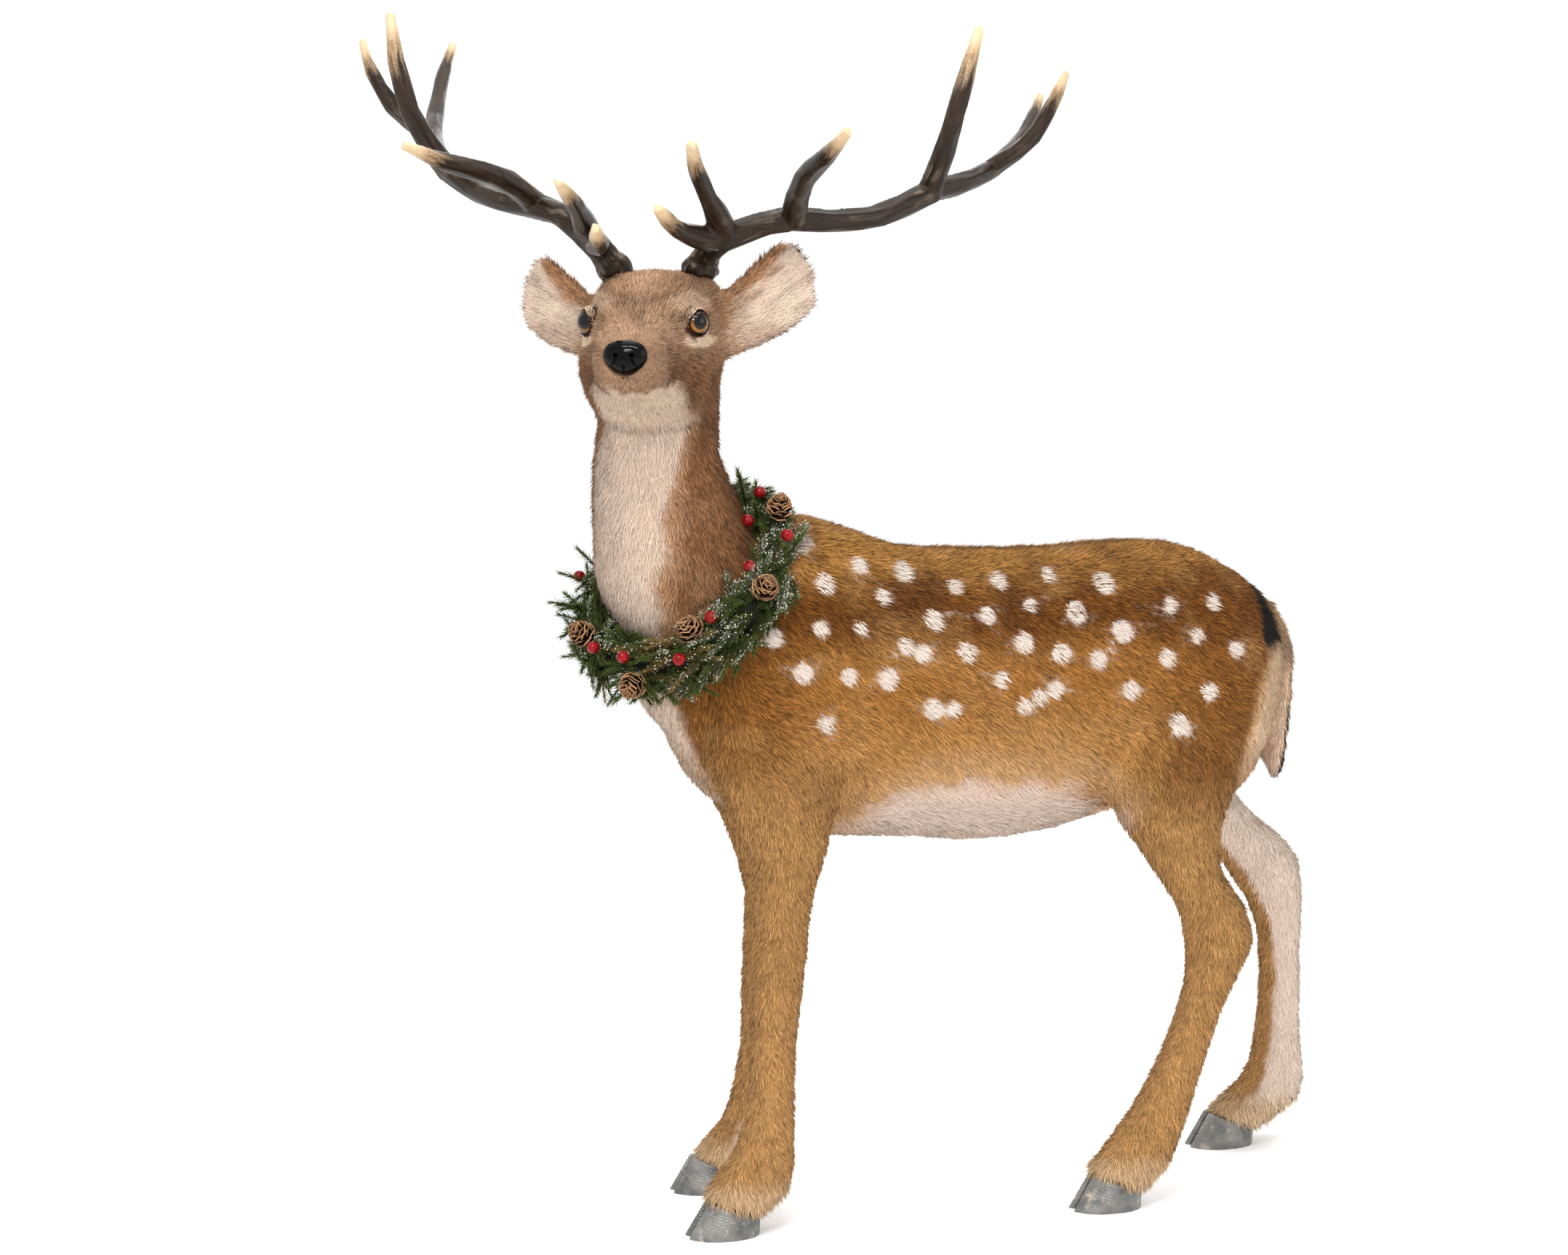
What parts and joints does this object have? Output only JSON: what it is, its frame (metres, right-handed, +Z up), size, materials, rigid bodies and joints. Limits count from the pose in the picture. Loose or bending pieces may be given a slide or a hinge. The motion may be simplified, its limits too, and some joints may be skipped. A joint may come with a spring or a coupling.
{
  "type": "plush display stag with wreath",
  "caption": "Life-size standing plush stag figure with its head turned, branched resin antlers and a fir wreath with cones and berries round its neck.",
  "frame": {"origin": "bottom centre of the bounding box, on the floor under the trunk", "axes": "-X is where the trunk points, +Z is up, -Y is the stag's left, toward which the head is turned"},
  "size_m": [1.2904, 0.9336, 1.5458],
  "materials": {
    "plush": "short plush pile, airbrushed brown over cream, with cream spots",
    "hoof_paint": "resin painted silver grey, scuffed",
    "antler_resin": "dark brown resin with satin sheen, cream tips and pale worn ridges",
    "eye_glass": "clear dome over a black pupil and an amber ring",
    "nose_plastic": "glossy black",
    "fir": "dark green artificial needles with white frost",
    "pine_cone": "dry brown scales with a little frost",
    "berry": "glossy deep red"
  },
  "bodies": {
    "root": {"trunk": "plush", "neck": "plush", "head": "plush", "ear_left": "plush", "ear_right": "plush", "leg_front_left": "plush", "leg_front_right": "plush", "leg_hind_left": "plush", "leg_hind_right": "plush", "tail": "plush", "hoof_front_left": "hoof_paint", "hoof_front_right": "hoof_paint", "hoof_hind_left": "hoof_paint", "hoof_hind_right": "hoof_paint", "antler_left_base": "antler_resin", "antler_left_beam": "antler_resin", "antler_left_fore_tine": "antler_resin", "antler_left_rear_branch": "antler_resin", "antler_right_base": "antler_resin", "antler_right_beam": "antler_resin", "antler_right_fore_tine": "antler_resin", "antler_right_rear_branch": "antler_resin", "eye_left": "eye_glass", "eye_right": "eye_glass", "nose": "nose_plastic", "wreath_ring": "fir", "wreath_cone_1": "pine_cone", "wreath_cone_2": "pine_cone", "wreath_cone_3": "pine_cone", "wreath_cone_4": "pine_cone", "wreath_cone_5": "pine_cone", "wreath_cone_6": "pine_cone", "wreath_cone_7": "pine_cone", "wreath_berry_1": "berry", "wreath_berry_2": "berry", "wreath_berry_3": "berry", "wreath_berry_4": "berry", "wreath_berry_5": "berry", "wreath_berry_6": "berry", "wreath_berry_7": "berry", "wreath_berry_8": "berry", "wreath_berry_9": "berry", "wreath_berry_10": "berry", "wreath_berry_11": "berry", "wreath_berry_12": "berry"}
  },
  "joints": []
}
